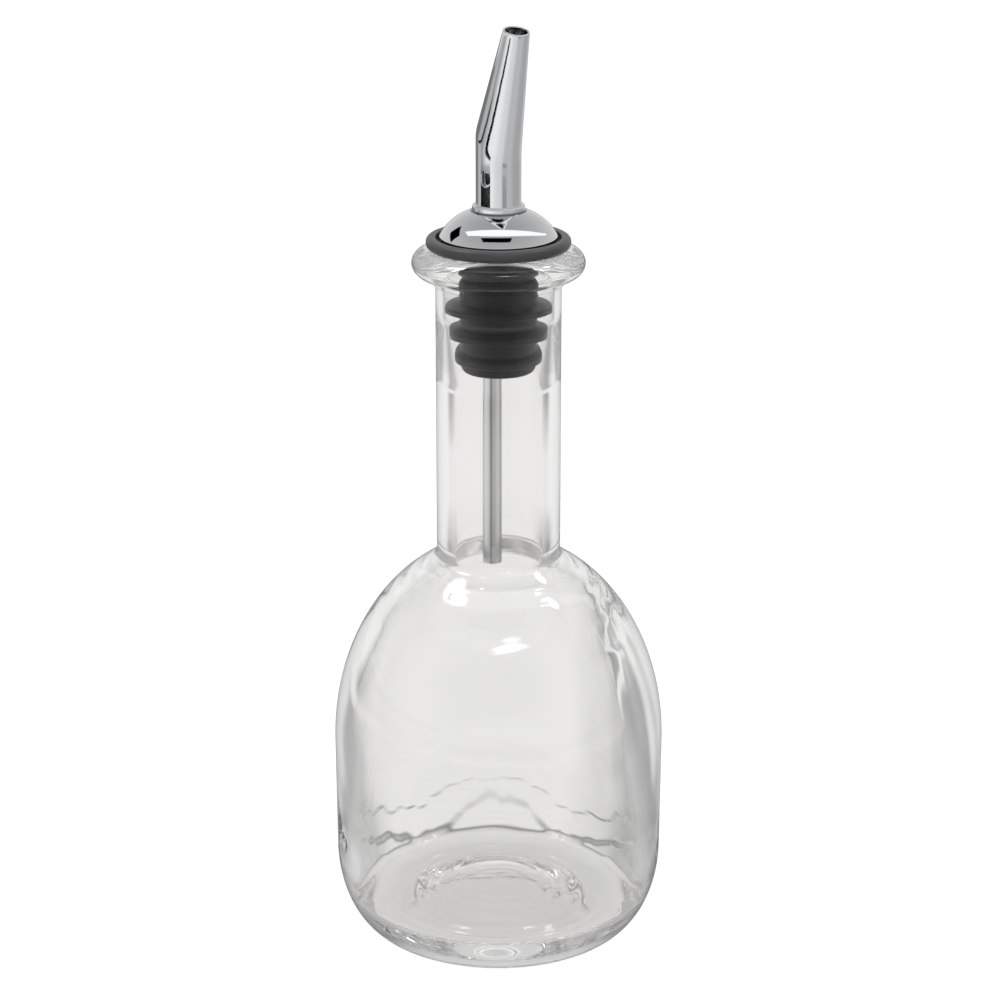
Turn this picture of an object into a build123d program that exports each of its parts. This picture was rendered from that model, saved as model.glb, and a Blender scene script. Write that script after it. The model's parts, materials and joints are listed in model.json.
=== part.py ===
from build123d import *

import math
import os

# Oil and vinegar bottle: a thick blown glass bottle, closed by a ribbed cork that holds a
# metal pourer. The origin is the centre of the foot, +Z is up, and all sizes are millimetres.

# Glass bottle, outside
foot_radius = 25.5
heel_height = 20.2
body_radius = 37.7
wall_draft = 0.2
shoulder_height = 46.7
shoulder_rise = 47.3
neck_radius = 13.95
neck_blend = 2.5
rim_height = 161.5
bead_radius = 19.2
bead_height = 6.4
bead_depth = 4.0
neck_ring_radius = 14.8
neck_ring_height = 1.4
neck_ring_round = 0.4

# Glass bottle, inside and underneath
body_wall = 4.3
shoulder_wall = 4.6
wall_foot_height = 27.0
floor_reach = 32.6
floor_corner = 1.8
floor_height = 8.3
dome_radius = 21.0
dome_rise = 2.3
bore_radius = 10.0
bore_blend = 7.0
mouth_radius = 12.0
mouth_depth = 15.5
taper_length = 15.0
lip_round = 0.9
foot_ring_width = 5.0
foot_ring_round = 0.8
punt_height = 4.2

# Ribbed cork
rim_gap = 0.05
flange_radius = 16.0
flange_thickness = 2.6
flange_round = 1.15
core_radius = 8.6
cork_length = 27.6
nose_round = 2.2
nose_lip = 0.2
fin_count = 3
first_fin_depth = 12.9
fin_pitch = 5.7
fin_root_thickness = 2.6
fin_tip_thickness = 1.3
fin_round = 0.5
fin_clearance = 0.07
lead_in_relief = 0.55

# Metal pourer
collar_radius = 13.05
collar_sheet = 0.9
collar_edge_height = 0.6
collar_rise = 6.3
collar_crown = 0.9
collar_seat_depth = 0.5
collar_seat_gap = 0.3
collar_play = 0.1
collar_edge_round = 0.25
collar_bend_round = 0.35
lip_ring_width = 0.8
lip_ring_height = 1.3
lip_ring_round = 0.5
spout_radius = 5.0
spout_sheet = 0.55
solder_gap = 0.02
shank_running_gap = 0.05
spout_turn = -58.0
bend_front_height = 20.0
bend_back_height = 27.2
tip_height = 48.8
tip_reach = 7.2
tip_tilt = 12.5
tip_radius = 2.9
tip_bore_radius = 2.4

# Turned-out end of the pourer's shank, in its recess under the cork
flare_width = 0.8
flare_height = 1.0
flare_recess_gap = 0.4
flare_lift = 0.7

# Breather tube and the vent that it ends at
breather_radius = 2.1
breather_bore_radius = 1.6
breather_drop = 73.1
breather_cap = 0.8
breather_cap_round = 0.65
vent_turn = -126.0
vent_height = 16.1
vent_width = 2.0
vent_length = 3.0
vent_headroom = 1.0

# Levels that several pieces share
flange_bottom = rim_height + rim_gap
flange_top = flange_bottom + flange_thickness
collar_bottom = flange_top - collar_seat_depth + collar_play
cork_bottom = rim_height - cork_length
bead_middle = rim_height - bead_height / 2
bead_bottom = rim_height - bead_height
lip_radius = bead_radius - bead_depth
spout_bore_radius = spout_radius - spout_sheet


def bore_radius_at(height):
    """The bore's radius at a height: a straight mouth, a taper under it, then the neck's bore."""
    share = (rim_height - height - mouth_depth) / taper_length
    return mouth_radius + (bore_radius - mouth_radius) * min(max(share, 0.0), 1.0)


def round_corner(sketch, x, y, radius):
    """Rounds the corner of a sketch that lies nearest to a point."""
    fillet(sketch.vertices().sort_by_distance((x, y))[0], radius)


def nearest_circle(builder, radius, height):
    """The round edge about the axis that lies nearest to a radius and a height."""
    circles = builder.edges().filter_by(GeomType.CIRCLE)
    return circles.sort_by(lambda edge: math.dist((edge.radius, edge.center().Z), (radius, height)))[0]


def cap_height(edge_radius, rise, distance):
    """How far a ball-shaped cap has risen above its edge, at a distance from its axis."""
    ball_radius = (edge_radius**2 + rise**2) / (2 * rise)
    return rise - ball_radius + math.sqrt(ball_radius**2 - distance**2)


def dome_points(x_radius, y_radius, stop_radius):
    """Control points of the shoulder's elliptical arc, from the wall up to a smaller radius."""
    sweep = math.acos(stop_radius / x_radius)
    reach = 4 / 3 * math.tan(sweep / 4)
    end = (stop_radius, y_radius * math.sin(sweep))
    return [
        (x_radius, shoulder_height),
        (x_radius, shoulder_height + y_radius * reach),
        (
            end[0] + x_radius * reach * math.sin(sweep),
            shoulder_height + end[1] - y_radius * reach * math.cos(sweep),
        ),
        (end[0], shoulder_height + end[1]),
    ]


# Glass bottle: the outside and the inside are turned about one axis, and the punt is cut below
heel_radius = body_radius - wall_draft
inner_radius = body_radius - body_wall
inner_rise = shoulder_rise - shoulder_wall
taper_bottom = rim_height - mouth_depth - taper_length
mouth_bottom = rim_height - mouth_depth
foot_ring_inner = foot_radius - foot_ring_width

with BuildPart() as glass_bottle:
    with BuildSketch(Plane.XZ) as outside:
        with BuildLine():
            foot = Line((0, 0), (foot_radius, 0))
            heel = EllipticalCenterArc(
                (foot_radius, heel_height), heel_radius - foot_radius, heel_height, -90, arc_size=90
            )
            wall = Line(heel @ 1, (body_radius, shoulder_height))
            shoulder = Bezier(dome_points(body_radius, shoulder_rise, neck_radius))
            ring_bottom = bead_bottom - neck_ring_height
            neck = Polyline(
                shoulder @ 1,
                (neck_radius, ring_bottom),
                (neck_ring_radius, ring_bottom),
                (neck_ring_radius, bead_bottom),
                (lip_radius, bead_bottom),
            )
            bead = EllipticalCenterArc(
                (lip_radius, bead_middle), bead_depth, bead_height / 2, -90, arc_size=180
            )
            rim = Polyline(bead @ 1, (0, rim_height), (0, 0))
        make_face()
        round_corner(outside, neck_radius, (shoulder @ 1).Y, neck_blend)
        round_corner(outside, neck_ring_radius, ring_bottom, neck_ring_round)
    revolve(axis=Axis.Z)

    with BuildSketch(Plane.XZ) as inside:
        with BuildLine():
            floor = ThreePointArc(
                (0, floor_height + dome_rise),
                (dome_radius / 2, floor_height + cap_height(dome_radius, dome_rise, dome_radius / 2)),
                (dome_radius, floor_height),
            )
            inner_wall = Polyline(
                floor @ 1,
                (floor_reach, floor_height),
                (inner_radius, wall_foot_height),
                (inner_radius, shoulder_height),
            )
            inner_shoulder = Bezier(dome_points(inner_radius, inner_rise, bore_radius))
            bore = Polyline(
                inner_shoulder @ 1,
                (bore_radius, taper_bottom),
                (mouth_radius, mouth_bottom),
                (mouth_radius, rim_height),
                (0, rim_height),
                floor @ 0,
            )
        make_face()
        round_corner(inside, floor_reach, floor_height, floor_corner)
        round_corner(inside, dome_radius, floor_height, floor_corner)
        round_corner(inside, bore_radius, (inner_shoulder @ 1).Y, bore_blend)
    revolve(axis=Axis.Z, mode=Mode.SUBTRACT)

    with BuildSketch(Plane.XZ) as punt:
        with BuildLine():
            dome = ThreePointArc(
                (foot_ring_inner, 0),
                (foot_ring_inner / 2, cap_height(foot_ring_inner, punt_height, foot_ring_inner / 2)),
                (0, punt_height),
            )
            Polyline(dome @ 1, (0, 0), dome @ 0)
        make_face()
    revolve(axis=Axis.Z, mode=Mode.SUBTRACT)

    fillet(nearest_circle(glass_bottle, mouth_radius, rim_height), lip_round)
    fillet(nearest_circle(glass_bottle, foot_ring_inner, 0), foot_ring_round)
glass_bottle.part.label = "glass_bottle"

# Ribbed cork: a flange on the rim, a core with fins that follow the mouth's taper, and a bore
# for the pourer's shank
shank_bore = spout_radius + shank_running_gap
flare_radius = spout_radius + flare_width
recess_radius = flare_radius + flare_recess_gap
flare_bottom = cork_bottom + flare_lift
recess_top = flare_bottom + flare_height + flare_recess_gap
fin_levels = [rim_height - first_fin_depth - fin_pitch * place for place in range(fin_count)]

with BuildPart() as stopper:
    with BuildSketch(Plane.XZ) as cork_profile:
        with BuildLine():
            Polyline(
                (shank_bore, recess_top),
                (recess_radius, recess_top),
                (recess_radius, cork_bottom),
                (core_radius, cork_bottom),
                (core_radius, flange_bottom),
                (flange_radius, flange_bottom),
                (flange_radius, flange_top),
                (collar_radius + collar_seat_gap, flange_top),
                (collar_radius + collar_seat_gap, flange_top - collar_seat_depth),
                (shank_bore, flange_top - collar_seat_depth),
                close=True,
            )
        make_face()
        nose_land = core_radius - recess_radius - nose_lip
        round_corner(cork_profile, core_radius, cork_bottom, min(nose_round, nose_land))
        round_corner(cork_profile, flange_radius, flange_bottom, flange_round)
        round_corner(cork_profile, flange_radius, flange_top, flange_round)
    revolve(axis=Axis.Z)

    for place, level in enumerate(fin_levels):
        relief = lead_in_relief if place == fin_count - 1 else 0.0
        fin_radius = bore_radius_at(level - fin_tip_thickness / 2) - fin_clearance - relief
        with BuildSketch(Plane.XZ) as fin_profile:
            with BuildLine():
                Polyline(
                    (core_radius - fin_tip_thickness, level - fin_root_thickness / 2),
                    (core_radius, level - fin_root_thickness / 2),
                    (fin_radius, level - fin_tip_thickness / 2),
                    (fin_radius, level + fin_tip_thickness / 2),
                    (core_radius, level + fin_root_thickness / 2),
                    (core_radius - fin_tip_thickness, level + fin_root_thickness / 2),
                    close=True,
                )
            make_face()
            round_corner(fin_profile, fin_radius, level - fin_tip_thickness / 2, fin_round)
            round_corner(fin_profile, fin_radius, level + fin_tip_thickness / 2, fin_round)
        revolve(axis=Axis.Z)
stopper.part.label = "stopper"

# Collar: a pressed sheet dome with an upright edge and a turned-up lip round the spout
collar_hole = spout_radius + solder_gap
lip_ring_radius = collar_hole + lip_ring_width
dome_foot = collar_bottom + collar_edge_height
dome_top = collar_bottom + collar_rise
lip_ring_top = dome_top + lip_ring_height

with BuildPart() as collar:
    with BuildSketch(Plane.XZ) as collar_profile:
        with BuildLine():
            outer_dome = SagittaArc(
                (collar_radius, dome_foot), (lip_ring_radius, dome_top), -collar_crown
            )
            inner_dome = SagittaArc(
                (collar_radius - collar_sheet, dome_foot),
                (lip_ring_radius, dome_top - collar_sheet),
                -collar_crown,
            )
            Polyline(
                outer_dome @ 1,
                (lip_ring_radius, lip_ring_top),
                (collar_hole, lip_ring_top),
                (collar_hole, dome_top - collar_sheet),
                inner_dome @ 1,
            )
            Polyline(
                inner_dome @ 0,
                (collar_radius - collar_sheet, collar_bottom),
                (collar_radius, collar_bottom),
                outer_dome @ 0,
            )
        make_face()
        round_corner(collar_profile, lip_ring_radius, lip_ring_top, lip_ring_round)
        round_corner(collar_profile, collar_radius, collar_bottom, collar_edge_round)
        round_corner(collar_profile, collar_radius, dome_foot, collar_bend_round)
    revolve(axis=Axis.Z)
collar.part.label = "collar"

# Spout: one tube, straight through the collar and the cork, then cut on a slant and drawn into
# a leaning cone. The slanted section lies on the bend plane, lower on the side that it leans to.
upward = Vector(0, 0, 1)
lean = Vector(math.cos(math.radians(spout_turn)), math.sin(math.radians(spout_turn)), 0)
across = upward.cross(lean)
bend_front = lean * spout_radius + upward * (rim_height + bend_front_height)
bend_back = lean * -spout_radius + upward * (rim_height + bend_back_height)
bend_slope = (bend_front - bend_back).normalized()
bend_stretch = (bend_front - bend_back).length / (2 * spout_radius)
bend_plane = Plane(
    origin=(bend_front + bend_back) * 0.5, x_dir=bend_slope, z_dir=bend_slope.cross(across)
)
tip_slope = lean * math.cos(math.radians(tip_tilt)) - upward * math.sin(math.radians(tip_tilt))
tip_plane = Plane(
    origin=lean * tip_reach + upward * (rim_height + tip_height),
    x_dir=tip_slope,
    z_dir=tip_slope.cross(across),
)
vent_direction = Vector(math.cos(math.radians(vent_turn)), math.sin(math.radians(vent_turn)), 0)
vent_plane = Plane(
    origin=(0, 0, rim_height + vent_height), x_dir=(0, 0, 1), z_dir=vent_direction
)
shank_length = rim_height + bend_back_height - flare_bottom


def bent_tube(base_radius, end_radius):
    """The spout's outside or inside: a straight round length cut on the bend plane, then a cone."""
    with BuildPart() as tube:
        with BuildSketch(Plane.XY.offset(flare_bottom)):
            Circle(base_radius)
        extrude(amount=shank_length)
        split(bisect_by=bend_plane, keep=Keep.BOTTOM)
        with BuildSketch(bend_plane):
            Ellipse(base_radius * bend_stretch, base_radius)
        with BuildSketch(tip_plane):
            Circle(end_radius)
        loft(ruled=True)
    return tube.part


spout_outside = bent_tube(spout_radius, tip_radius)
spout_inside = bent_tube(spout_bore_radius, tip_bore_radius)

with BuildPart() as spout:
    add(spout_outside)
    with BuildSketch(Plane.XZ):
        with BuildLine():
            Polyline(
                (spout_bore_radius + spout_sheet / 2, flare_bottom),
                (flare_radius, flare_bottom),
                (spout_radius, flare_bottom + flare_height),
                (spout_bore_radius + spout_sheet / 2, flare_bottom + flare_height),
                close=True,
            )
        make_face()
    revolve(axis=Axis.Z)
    add(spout_inside, mode=Mode.SUBTRACT)
    with BuildSketch(vent_plane):
        SlotOverall(vent_length, vent_width)
    extrude(amount=spout_radius * 2, mode=Mode.SUBTRACT)
spout.part.label = "spout"

# Breather tube: lies against the spout's wall on the vent's side, open below and closed above,
# with a port behind the vent
breather_offset = spout_bore_radius - breather_radius - solder_gap
breather_axis = vent_direction * breather_offset
breather_bottom = rim_height - breather_drop
breather_top = rim_height + vent_height + vent_length / 2 + vent_headroom
breather_length = breather_top - breather_bottom

with BuildPart() as breather_tube:
    with BuildSketch(Plane((breather_axis.X, breather_axis.Y, breather_bottom))):
        Circle(breather_radius)
    extrude(amount=breather_length)
    fillet(breather_tube.faces().sort_by(Axis.Z)[-1].edges(), breather_cap_round)
    with BuildSketch(Plane((breather_axis.X, breather_axis.Y, breather_bottom))):
        Circle(breather_bore_radius)
    extrude(amount=breather_length - breather_cap, mode=Mode.SUBTRACT)
    with BuildSketch(vent_plane):
        SlotOverall(vent_length - breather_cap, vent_width - breather_cap)
    extrude(amount=spout_radius, mode=Mode.SUBTRACT)
breather_tube.part.label = "breather_tube"

os.makedirs("parts", exist_ok=True)
for piece in (glass_bottle, stopper, collar, spout, breather_tube):
    export_step(piece.part, f"parts/{piece.part.label}.step")
    print(piece.part.label, len(piece.part.solids()), "solid", round(piece.part.volume), "mm3")
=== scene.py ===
# %% [markdown]
# # An oil and vinegar bottle
#
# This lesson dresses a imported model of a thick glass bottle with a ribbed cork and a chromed
# pourer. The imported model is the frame: it says where each piece is, how large it is and which
# body it moves with. Blender only adds the looks, so each piece here is made in the same place
# and at the same size, with smoother surfaces and real finishes.

# %% Load the frame
import json
import math

import bmesh
import bpy
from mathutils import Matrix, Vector

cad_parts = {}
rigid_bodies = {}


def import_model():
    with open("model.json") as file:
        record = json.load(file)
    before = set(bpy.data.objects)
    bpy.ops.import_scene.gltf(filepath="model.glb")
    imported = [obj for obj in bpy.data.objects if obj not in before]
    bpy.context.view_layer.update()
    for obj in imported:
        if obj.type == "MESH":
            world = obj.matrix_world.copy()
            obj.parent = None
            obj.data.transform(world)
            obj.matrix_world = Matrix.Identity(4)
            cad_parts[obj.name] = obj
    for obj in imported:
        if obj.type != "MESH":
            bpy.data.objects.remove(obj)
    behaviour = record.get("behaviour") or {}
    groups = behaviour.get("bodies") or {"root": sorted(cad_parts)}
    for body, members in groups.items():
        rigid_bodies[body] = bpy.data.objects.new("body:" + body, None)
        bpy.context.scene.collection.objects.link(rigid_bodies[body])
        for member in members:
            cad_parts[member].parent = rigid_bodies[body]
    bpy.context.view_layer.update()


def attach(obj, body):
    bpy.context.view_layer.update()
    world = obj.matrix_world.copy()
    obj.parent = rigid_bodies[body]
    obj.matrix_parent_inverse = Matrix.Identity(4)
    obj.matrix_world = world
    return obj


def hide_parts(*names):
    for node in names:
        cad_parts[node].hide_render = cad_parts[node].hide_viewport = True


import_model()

MM = 0.001

# %% [markdown]
# ## The camera
#
# The camera comes first, because every later choice is judged through it. It stands 0.65 m
# in front of the bottle and about 19 degrees above it, and looks down at the shoulder through
# a long lens, which keeps the neck and the body from leaning.

# %% Place the camera
CAMERA_PLACE = (0, -650 * MM, 316.24 * MM)
CAMERA_TARGET = (0, 0, 103.22 * MM)
CAMERA_LENS = 109.15
CAMERA_SENSOR = 36
CAMERA_SHIFT = 0.0015


def add_object(name, data):
    made = bpy.data.objects.new(name, data)
    bpy.context.scene.collection.objects.link(made)
    return made


camera_data = bpy.data.cameras.new("camera")
camera_data.lens = CAMERA_LENS
camera_data.sensor_width = CAMERA_SENSOR
camera_data.shift_x = CAMERA_SHIFT
camera = add_object("camera", camera_data)
camera.location = CAMERA_PLACE
aim = Vector(CAMERA_TARGET) - Vector(CAMERA_PLACE)
camera.rotation_euler = aim.to_track_quat("-Z", "Y").to_euler()
bpy.context.scene.camera = camera
print("camera looks down by", round(math.degrees(math.asin(-aim.z / aim.length)), 1), "degrees")

# %% [markdown]
# ## Nodes as Python expressions
#
# A material is a graph of nodes, which is hard to read as a list of links. Two small classes
# make it read like a formula. Value wraps a socket, and its operators add Math nodes. Tree adds
# any other node in one call, from its type, its settings and what goes into its sockets.


# %% Write node graphs as expressions
class Value:
    """An output of a node, for use in Python expressions."""

    def __init__(self, tree, socket):
        self.tree = tree
        self.socket = socket

    def maths(self, operation, *others):
        sockets = dict(enumerate((self, *others)))
        return self.tree.node("ShaderNodeMath", {"operation": operation}, sockets)

    def __add__(self, other):
        return self.maths("ADD", other)

    def __sub__(self, other):
        return self.maths("SUBTRACT", other)

    def __rsub__(self, other):
        return self.tree.node("ShaderNodeMath", {"operation": "SUBTRACT"}, {0: other, 1: self})

    def __mul__(self, other):
        return self.maths("MULTIPLY", other)

    def __truediv__(self, other):
        return self.maths("DIVIDE", other)

    def __rtruediv__(self, other):
        return self.tree.node("ShaderNodeMath", {"operation": "DIVIDE"}, {0: other, 1: self})

    def __pow__(self, other):
        return self.maths("POWER", other)

    def at_most(self, other):
        return self.maths("MINIMUM", other)

    def at_least(self, other):
        return self.maths("MAXIMUM", other)

    def between(self, start, end):
        """0 at the start, 1 at the end and even in between; the start may be the larger."""
        return ((self - start) / (end - start)).at_least(0.0).at_most(1.0)

    __radd__ = __add__
    __rmul__ = __mul__


class Tree:
    """Adds nodes to a node tree, one call for each."""

    def __init__(self, node_tree):
        self.node_tree = node_tree

    def node(self, kind, settings=None, sockets=None, output=0):
        made = self.node_tree.nodes.new(kind)
        for name, setting in (settings or {}).items():
            if name == "stops":
                stops = made.color_ramp.elements
                stops[0].position, stops[1].position = setting[0][0], setting[-1][0]
                for place, tone in setting[1:-1]:
                    stops.new(place)
                for stop, (place, tone) in zip(stops, setting):
                    stop.color = (tone, tone, tone, 1)
            else:
                setattr(made, name, setting)
        for key, content in (sockets or {}).items():
            if isinstance(content, Value):
                self.node_tree.links.new(content.socket, made.inputs[key])
            else:
                made.inputs[key].default_value = content
        return Value(self, made.outputs[output]) if made.outputs else made

    def ramp(self, stops, share):
        """A grey tone that changes along stops of (place, tone)."""
        return self.node("ShaderNodeValToRGB", {"stops": stops}, {"Fac": share})

    def join(self, x, y, z):
        return self.node("ShaderNodeCombineXYZ", sockets={0: x, 1: y, 2: z})

    def split(self, vector):
        x = self.node("ShaderNodeSeparateXYZ", sockets={0: vector})
        return x, sibling(x, 1), sibling(x, 2)


def sibling(value, output):
    """Another output of the node that a value comes from."""
    return Value(value.tree, value.socket.node.outputs[output])


print("expression classes are ready")

# %% [markdown]
# ## Turning a profile on a lathe
#
# Bottle, cork and collar are all round, so each is one profile turned about the upright axis.
# A Screw modifier could do that. Geometry Nodes are used instead, because a second tree can then
# take the inside of the glass out of round: the radius stored at each profile point goes along
# as a softness, from 0 for glass that the mould shaped to 1 for glass that flowed freely.


# %% Build the lathe tree
def add_input(group, name, kind, value=None):
    socket = group.interface.new_socket(name, in_out="INPUT", socket_type=kind)
    if value is not None:
        socket.default_value = value
    return socket


WELD_DISTANCE = 0.002 * MM


def make_lathe():
    group = bpy.data.node_groups.new("lathe", "GeometryNodeTree")
    add_input(group, "Geometry", "NodeSocketGeometry")
    add_input(group, "Profile points", "NodeSocketInt", 2)
    add_input(group, "Steps around", "NodeSocketInt", 96)
    add_input(group, "Axis place", "NodeSocketVector")
    add_input(group, "Material", "NodeSocketMaterial")
    group.interface.new_socket("Geometry", in_out="OUTPUT", socket_type="NodeSocketGeometry")
    tree = Tree(group)
    profile = tree.node("NodeGroupInput")
    points, steps, place, finish = (sibling(profile, n) for n in range(1, 5))

    grid = tree.node(
        "GeometryNodeMeshGrid",
        sockets={"Size X": 1.0, "Size Y": 1.0, "Vertices X": points, "Vertices Y": steps + 1},
    )
    across, along, _ = tree.split(tree.node("GeometryNodeInputPosition"))
    index = tree.node(
        "FunctionNodeFloatToInt",
        {"rounding_mode": "ROUND"},
        {0: (across + 0.5) * (points - 1)},
    )
    turn = (along + 0.5) * math.tau
    outline = tree.node(
        "GeometryNodeSampleIndex",
        {"data_type": "FLOAT_VECTOR", "domain": "POINT"},
        {0: profile, 1: tree.node("GeometryNodeInputPosition"), 2: index},
    )
    weight = tree.node(
        "GeometryNodeSampleIndex",
        {"data_type": "FLOAT", "domain": "POINT"},
        {0: profile, 1: tree.node("GeometryNodeInputRadius"), 2: index},
    )
    reach, _, level = tree.split(outline)
    turned = tree.join(reach * turn.maths("COSINE"), reach * turn.maths("SINE"), level)
    kept = tree.node(
        "GeometryNodeStoreNamedAttribute",
        {"data_type": "FLOAT", "domain": "POINT"},
        {0: grid, 2: "softness", 3: weight},
    )
    shaped = tree.node("GeometryNodeSetPosition", sockets={0: kept, 2: turned})
    closed = tree.node("GeometryNodeMergeByDistance", sockets={0: shaped, 2: WELD_DISTANCE})
    placed = tree.node("GeometryNodeSetPosition", sockets={0: closed, 3: place})
    smooth = tree.node("GeometryNodeSetShadeSmooth", sockets={0: placed})
    real = tree.node("GeometryNodeRealizeInstances", sockets={0: smooth})
    coated = tree.node("GeometryNodeSetMaterial", sockets={0: real, 2: finish})
    tree.node("NodeGroupOutput", sockets={0: coated})
    return group


lathe = make_lathe()
print("lathe tree has", len(lathe.nodes), "nodes")

# %% [markdown]
# A profile is written as a few corners in millimetres, each with the radius that rounds it.
# Long runs are then cut into short steps, so that the glass bends light smoothly.


# %% Draw profiles and turn them
ROOM_ALONE, ROOM_SHARED = 0.98, 0.49


def rounded(corners, closed=False, arc_steps=8):
    """A list of (x, z) from corners (x, z, radius), with each corner rounded by its radius."""
    count = len(corners)
    points = []
    for place, (x, z, radius) in enumerate(corners):
        here = Vector((x, z))
        at_end = not closed and place in (0, count - 1)
        if radius <= 0 or at_end:
            points.append(here)
            continue
        before = Vector(corners[place - 1][:2]) - here
        after = Vector(corners[(place + 1) % count][:2]) - here
        half_angle = before.angle(after) / 2
        room = (
            (ROOM_ALONE if corners[other % count][2] <= 0 else ROOM_SHARED) * side.length
            for side, other in ((before, place - 1), (after, place + 1))
        )
        reach = min(radius / math.tan(half_angle), *room)
        start = here + before.normalized() * reach
        end = here + after.normalized() * reach
        bisector = (before.normalized() + after.normalized()).normalized()
        centre = here + bisector * (reach / math.cos(half_angle))
        arc_radius = (start - centre).length
        for step in range(arc_steps + 1):
            chord = start.lerp(end, step / arc_steps)
            points.append(centre + (chord - centre).normalized() * arc_radius)
    if closed:
        points.append(points[0].copy())
    return points


def ellipse_points(centre, x_radius, z_radius, start, end, steps):
    """Sharp corners along an arc of an upright ellipse; angles in degrees."""
    points = []
    for step in range(steps + 1):
        angle = math.radians(start + (end - start) * step / steps)
        points.append((centre[0] + x_radius * math.cos(angle), centre[1] + z_radius * math.sin(angle), 0))
    return points


def cut_runs(points, longest):
    """The same outline, with no run longer than a length."""
    cut = [points[0]]
    for start, end in zip(points, points[1:]):
        parts = max(1, math.ceil((end - start).length / longest))
        cut += [start.lerp(end, part / parts) for part in range(1, parts + 1)]
    return cut


def run_tree(carrier, group, values):
    """Runs a Geometry Nodes tree on an object and returns the mesh that comes out."""
    modifier = carrier.modifiers.new(group.name, "NODES")
    modifier.node_group = group
    for socket in group.interface.items_tree:
        if socket.name in values and socket.in_out == "INPUT":
            modifier[socket.identifier] = values[socket.name]
    bpy.context.view_layer.update()
    evaluated = carrier.evaluated_get(bpy.context.evaluated_depsgraph_get())
    mesh = bpy.data.meshes.new_from_object(evaluated)
    carrier.modifiers.clear()
    return mesh


def turn_profile(name, points, material, softness=None, steps=160, axis=(0, 0)):
    """A plain mesh object, turned from a profile in millimetres."""
    curve = bpy.data.curves.new(name + "_profile", "CURVE")
    curve.dimensions = "3D"
    spline = curve.splines.new("POLY")
    spline.points.add(len(points) - 1)
    for place, point in enumerate(points):
        spline.points[place].co = (point[0] * MM, 0, point[1] * MM, 1)
        spline.points[place].radius = softness[place] if softness else 0.0
    carrier = add_object(name + "_profile", curve)
    values = {
        "Profile points": len(points),
        "Steps around": steps,
        "Axis place": (axis[0] * MM, axis[1] * MM, 0),
        "Material": material,
    }
    mesh = run_tree(carrier, lathe, values)
    bpy.data.objects.remove(carrier)
    mesh.name = name
    print(name, "has", len(mesh.polygons), "faces")
    return add_object(name, mesh)


# %% [markdown]
# ## The glass bottle
#
# The real bottle is blown into a mould: its outside is true, and its inside is only as even as
# the breath that made it. So the outside is turned exactly, and the ripple is put on the inside
# alone. It fades out in the neck, where the cork needs a round mouth.

# %% Sizes of the bottle
FOOT_RADIUS, FOOT_RING, FOOT_ROUND, PUNT_HEIGHT = 25.5, 20.5, 0.8, 4.2
HEEL_RADIUS, HEEL_HEIGHT = 37.5, 20.2
BODY_RADIUS, SHOULDER_HEIGHT, SHOULDER_RISE = 37.7, 46.7, 47.3
NECK_RADIUS, NECK_BLEND = 13.95, 2.5
RIM_HEIGHT, BEAD_RADIUS, BEAD_HEIGHT, BEAD_DEPTH = 161.5, 19.2, 6.4, 4.0
RING_RADIUS, RING_HEIGHT, RING_ROUND = 14.8, 1.4, 0.4
WALL, SHOULDER_WALL = 4.3, 4.6
WALL_FOOT_HEIGHT, WALL_FOOT_ROUND = 27, 14
INNER_HEEL_HEIGHT, INNER_HEEL_SPREAD, INNER_HEEL_ROUND = 14, 0.4, 10
FLOOR_REACH, FLOOR_CORNER, FLOOR_EDGE_RISE = 32.6, 1.8, 1.0
MOAT_HEIGHT, MOAT_RADIUS, MOAT_WIDTH, MOAT_ROUND = 8.3, 21.0, 2.5, 2.0
DOME_RISE, DOME_SOFTENING = 2.3, 12
BORE_RADIUS, BORE_BLEND, MOUTH_RADIUS, MOUTH_DEPTH, TAPER_LENGTH = 10.0, 3.0, 12.0, 15.5, 15.0
LIP_ROUND = 0.9
CAP_STEPS, HEEL_STEPS, SHOULDER_STEPS, BEAD_STEPS = 12, 28, 40, 24
OUTER_BLEND_ANGLE, INNER_BLEND_ANGLE, BEAD_START = 3, 9, -84
INNER_RADIUS = BODY_RADIUS - WALL
INNER_RISE = SHOULDER_RISE - SHOULDER_WALL
BEAD_BOTTOM = RIM_HEIGHT - BEAD_HEIGHT
print("wall of the body:", WALL, "mm, wall of the neck:", round(NECK_RADIUS - BORE_RADIUS, 2), "mm")

# %% Draw the bottle's profile
def cap_height(edge_radius, rise, distance):
    """How far a ball-shaped cap stands above its edge, at a distance from its axis."""
    ball = (edge_radius**2 + rise**2) / (2 * rise)
    return rise - ball + math.sqrt(ball**2 - distance**2)


def cap_points(edge_radius, rise, base, shares, softening=0):
    """Corners along a ball-shaped cap, at shares of the way from its axis to its edge."""
    return [
        (edge_radius * share, base + cap_height(edge_radius, rise, edge_radius * share), softening)
        for share in shares
    ]


def shoulder_stop(x_radius, stop_radius):
    """The angle on a shoulder's ellipse at which it meets a smaller radius."""
    return math.degrees(math.acos(stop_radius / x_radius))


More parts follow.
